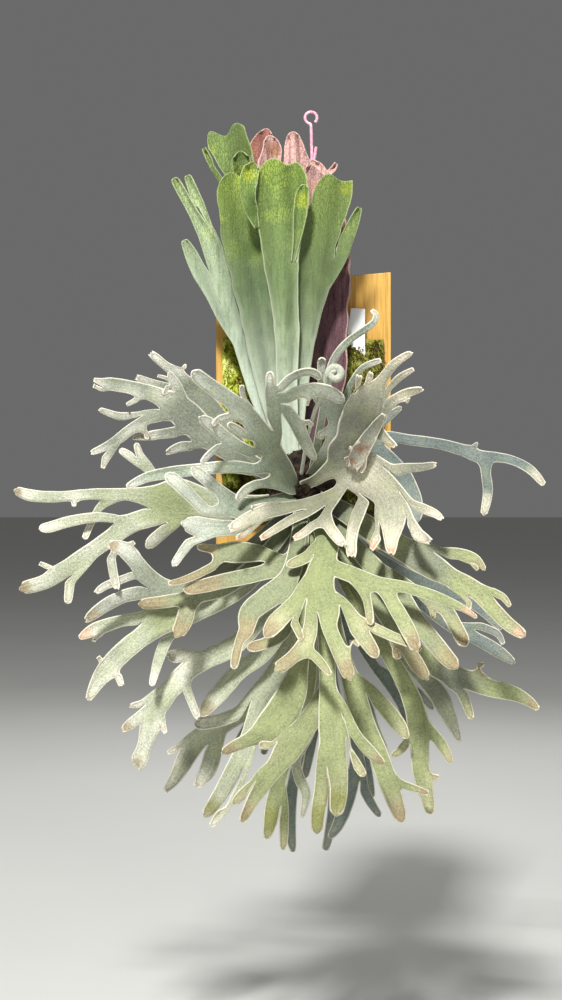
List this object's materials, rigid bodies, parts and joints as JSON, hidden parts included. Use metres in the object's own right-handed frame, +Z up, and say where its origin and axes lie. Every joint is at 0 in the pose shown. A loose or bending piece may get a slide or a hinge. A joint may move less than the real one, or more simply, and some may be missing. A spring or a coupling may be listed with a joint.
{
  "type": "mounted staghorn fern",
  "caption": "Staghorn fern on a small pine board: forked felted fronds spread and hang from a bud, with upright green and brown shield fronds, moss and a hanging wire.",
  "frame": {"origin": "middle of the back face of the mounting board, where it lies against the wall", "axes": "+Z up, +Y into the wall, the plant faces -Y, +X to the viewer's right"},
  "size_m": [0.4322, 0.2074, 0.6346],
  "materials": {
    "pine": "planed, unvarnished golden pine",
    "moss": "matt damp sphagnum moss",
    "rhizome": "matt brown scales",
    "felted_frond": "matt grey-green leaf with fine white felt",
    "green_shield": "satin green leaf with raised veins",
    "dried_shield": "matt dried brown leaf",
    "coated_wire": "pale pink plastic coating",
    "tag": "matt white, blank"
  },
  "bodies": {
    "root": {"board": "pine", "brown_shield_left": "dried_shield", "brown_shield_right": "dried_shield", "crozier": "felted_frond", "frond_centre_crest": "felted_frond", "frond_centre_left": "felted_frond", "frond_centre_lower": "felted_frond", "frond_curled": "felted_frond", "frond_inner_crest": "felted_frond", "frond_left_arched": "felted_frond", "frond_left_crest": "felted_frond", "frond_left_long": "felted_frond", "frond_left_low": "felted_frond", "frond_left_low_forked": "felted_frond", "frond_left_middle": "felted_frond", "frond_left_pale_crest": "felted_frond", "frond_left_tan_finger": "felted_frond", "frond_left_upper_shaded": "felted_frond", "frond_low_back_finger": "felted_frond", "frond_low_dark_finger": "felted_frond", "frond_low_left_blade": "felted_frond", "frond_low_left_hanging": "felted_frond", "frond_low_left_pale": "felted_frond", "frond_low_left_tips": "felted_frond", "frond_low_middle_blade": "felted_frond", "frond_low_middle_front": "felted_frond", "frond_low_middle_tips": "felted_frond", "frond_low_right_blade": "felted_frond", "frond_low_right_shaded": "felted_frond", "frond_low_small_tips": "felted_frond", "frond_middle_tan_fingers": "felted_frond", "frond_right_dark": "felted_frond", "frond_right_fork": "felted_frond", "frond_right_hanging": "felted_frond", "frond_right_long": "felted_frond", "frond_right_low": "felted_frond", "frond_right_low_back": "felted_frond", "frond_right_paired_fingers": "felted_frond", "frond_right_tan_finger": "felted_frond", "hanger_wire": "coated_wire", "moss_pad": "moss", "plant_tag": "tag", "rhizome": "rhizome", "shield_back_left": "green_shield", "shield_front": "green_shield", "shield_left": "green_shield", "shield_left_fingers": "green_shield", "shield_right": "green_shield"}
  },
  "joints": []
}
